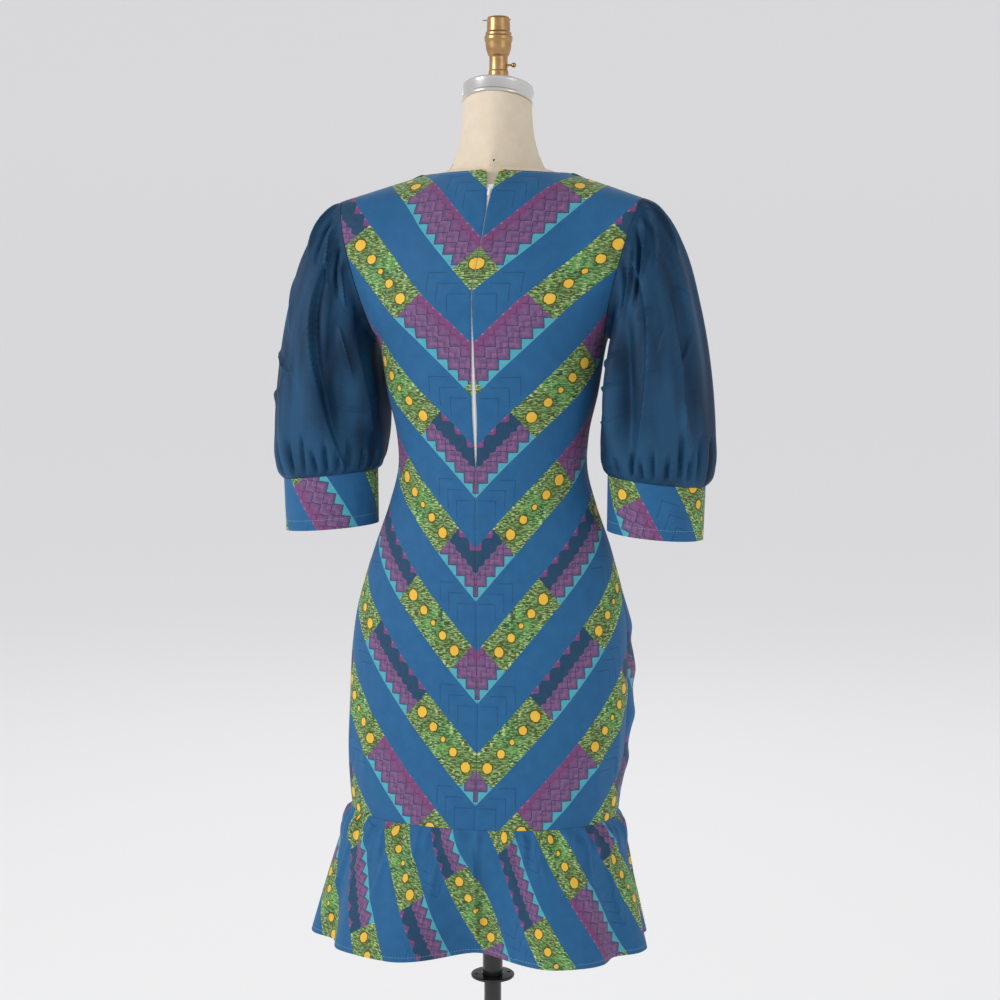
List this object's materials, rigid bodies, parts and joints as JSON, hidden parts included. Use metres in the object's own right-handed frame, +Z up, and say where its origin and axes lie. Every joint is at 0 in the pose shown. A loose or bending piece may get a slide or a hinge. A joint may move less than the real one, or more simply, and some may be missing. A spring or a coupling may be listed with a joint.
{
  "type": "v-neck dress on a dress form",
  "caption": "Knee-length sheath dress with puff sleeves, wide cuffs and a gathered hem ruffle, on a limbless dress form with a sliding post and round base.",
  "frame": {"origin": "middle of the base's underside, on the floor", "axes": "+Z up; the garment's zipped back faces +Y and its V neck -Y; +X is the wearer's left"},
  "size_m": [0.596, 0.4, 1.643],
  "materials": {
    "print_cloth": "printed plain-weave cotton, matt with a faint wax sheen",
    "sleeve_cloth": "crisp navy-teal satin organza with a soft sheen",
    "zip_tape": "white woven zip tape",
    "zip_slider": "white enamelled zip slider and pull",
    "linen": "natural linen stretched over a firm form",
    "chrome": "brushed chrome cap",
    "antique_gold": "satin antique gold",
    "black_gloss": "gloss black enamel"
  },
  "bodies": {
    "stand": {"base": "black_gloss", "stand_tube": "black_gloss"},
    "pole": {"post": "black_gloss"},
    "form": {"form_body": "linen", "neck_ring": "chrome", "finial_plate": "antique_gold", "finial": "antique_gold", "thumbscrew": "antique_gold", "back_left": "print_cloth", "back_right": "print_cloth", "front_left": "print_cloth", "front_right": "print_cloth", "sleeve_left": "sleeve_cloth", "sleeve_right": "sleeve_cloth", "cuff_left": "print_cloth", "cuff_right": "print_cloth", "ruffle_back": "print_cloth", "ruffle_front": "print_cloth", "zip_tape": "zip_tape", "zip_slider": "zip_slider"},
    "pull": {"zip_pull": "zip_slider"}
  },
  "joints": [
    {"name": "height_slide", "type": "slide", "parent": "stand", "child": "pole", "axis": [0, 0, 1], "range_m": [-0.12, 0.12]},
    {"name": "form_swivel", "type": "hinge", "parent": "pole", "child": "form", "pos_m": [0, 0, 0.68], "axis": [0, 0, 1], "continuous": true},
    {"name": "pull_hinge", "type": "hinge", "parent": "form", "child": "pull", "pos_m": [-0.00994, 0.0607, 1.41598], "axis": [1, 0, 0], "range_deg": [0, 165]}
  ]
}
